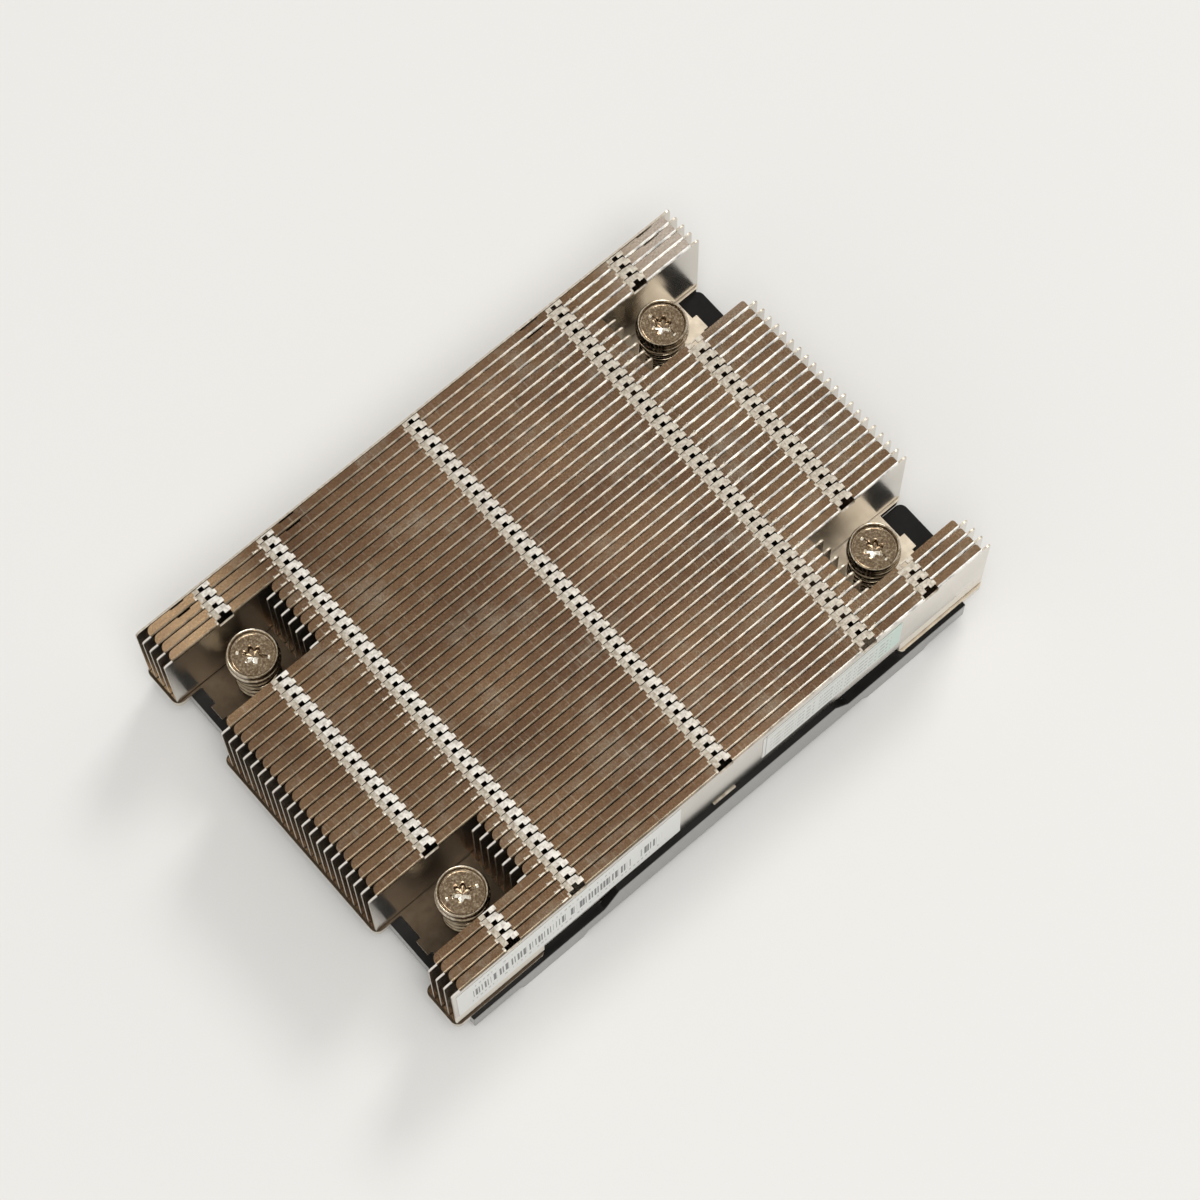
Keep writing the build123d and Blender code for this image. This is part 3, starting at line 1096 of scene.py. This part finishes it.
def build_label(name, edges, finish, lean=0.0):
    left, right, low, high = edges
    bm = bmesh.new()
    bmesh.ops.create_grid(bm, x_segments=2, y_segments=2, size=0.5)
    bmesh.ops.scale(bm, vec=(right - left, high - low, 1), verts=bm.verts)
    for turn in (Matrix.Rotation(math.pi / 2, 3, "X"), Matrix.Rotation(-lean, 3, "Y")):
        bmesh.ops.rotate(bm, cent=(0, 0, 0), matrix=turn, verts=bm.verts)
    middle = ((left + right) / 2, -STACK_HALF - LABEL_STAND_OFF, (low + high) / 2)
    bmesh.ops.translate(bm, vec=middle, verts=bm.verts)
    made = piece(name, bm, (material(name, (0.76, 0.76, 0.73), 0.0, 0.45, finish),))
    thicken(made, "paper thickness", PAPER, 0.0)


# Build


build_fins()
for number, ((x, y), turn) in enumerate(zip(SCREWS, SCREW_TURNS), start=1):
    build_screw(number, x, y, turn)
    build_thread(number, x, y)
    build_spring(number, x, y)
    give_finish(f"retaining_clip_{number}", STEEL)
build_base_plate()
build_frame()
give_finish("contact_pad", PAD)
build_label("bar_label", BAR_LABEL, label_finish)
build_label("plain_label", GREEN_LABEL, green_label_finish, GREEN_LABEL_LEAN)


# Studio: the lamps' places in metres, the floor's and the camera's in millimetres and degrees


FLOOR_SIZE = 2500
LAMP_TARGET = (0, 0, 0.02)
LIT_STRENGTH = 0.47
CAMERA_ANGLES = (39.632, 71.153, -1.335)
CAMERA_TARGET = (5.981, -2.368, 16.0)
CAMERA_DISTANCE = 658.288
CAMERA_LENS = 112.845


def build_floor():
    bm = bmesh.new()
    bmesh.ops.create_grid(bm, x_segments=1, y_segments=1, size=FLOOR_SIZE)
    made = mesh_object("floor", bm, (material("pale_floor", (0.80, 0.79, 0.77), 0.0, 0.9),))


def area_lamp(name, place, size, power, color):
    data = bpy.data.lights.new(name, "AREA")
    data.shape = "RECTANGLE"
    data.size = size
    data.size_y = size
    data.energy = power
    data.color = color
    made = add_object(name, data)
    made.location = place
    aim = Vector(LAMP_TARGET) - Vector(place)
    made.rotation_euler = aim.to_track_quat("-Z", "Y").to_euler()


def background(tree, color, strength):
    made = node_of(tree, "ShaderNodeBackground")
    made.inputs["Color"].default_value = (*color, 1)
    made.inputs["Strength"].default_value = strength
    return made.outputs[0]


def build_world():
    """Soft light for the surfaces, and a plain pale room for what is seen and mirrored."""
    world = bpy.data.worlds.new("studio")
    bpy.context.scene.world = world
    world.use_nodes = True
    tree = world.node_tree
    tree.nodes.clear()
    lit = background(tree, (1.0, 0.99, 0.97), LIT_STRENGTH)
    seen = background(tree, (0.90, 0.89, 0.87), 1.0)
    rays = node_of(tree, "ShaderNodeLightPath").outputs
    any_seen = either(
        tree, rays["Is Camera Ray"], rays["Is Glossy Ray"], rays["Is Transmission Ray"]
    )
    mixed = node_of(tree, "ShaderNodeMixShader")
    out = node_of(tree, "ShaderNodeOutputWorld")
    for socket, value in zip(mixed.inputs, (any_seen, lit, seen)):
        tree.links.new(value, socket)
    tree.links.new(mixed.outputs[0], out.inputs[0])


def build_camera():
    azimuth, elevation, roll = (math.radians(angle) for angle in CAMERA_ANGLES)
    forward = Vector((
        math.sin(azimuth) * math.cos(elevation),
        math.cos(azimuth) * math.cos(elevation),
        -math.sin(elevation),
    ))
    level = Vector((math.cos(azimuth), -math.sin(azimuth), 0))
    upward = level.cross(forward)
    right = math.cos(roll) * level + math.sin(roll) * upward
    up = -math.sin(roll) * level + math.cos(roll) * upward
    data = bpy.data.cameras.new("camera")
    data.lens = CAMERA_LENS
    data.sensor_width = 36.0
    data.clip_end = 20.0
    made = add_object("camera", data)
    turn = Matrix((right, up, -forward)).transposed().to_4x4()
    place = Vector(CAMERA_TARGET) - CAMERA_DISTANCE * forward
    made.matrix_world = Matrix.Translation(place * MM) @ turn
    bpy.context.scene.camera = made


build_floor()
area_lamp("key", (1.55, 0.60, 1.75), 0.6, 14.0, (1.0, 0.99, 0.97))
area_lamp("top", (-0.35, -0.75, 2.2), 1.2, 27.0, (1.0, 1.0, 0.99))
build_world()
build_camera()
bpy.context.scene.view_settings.view_transform = "Standard"
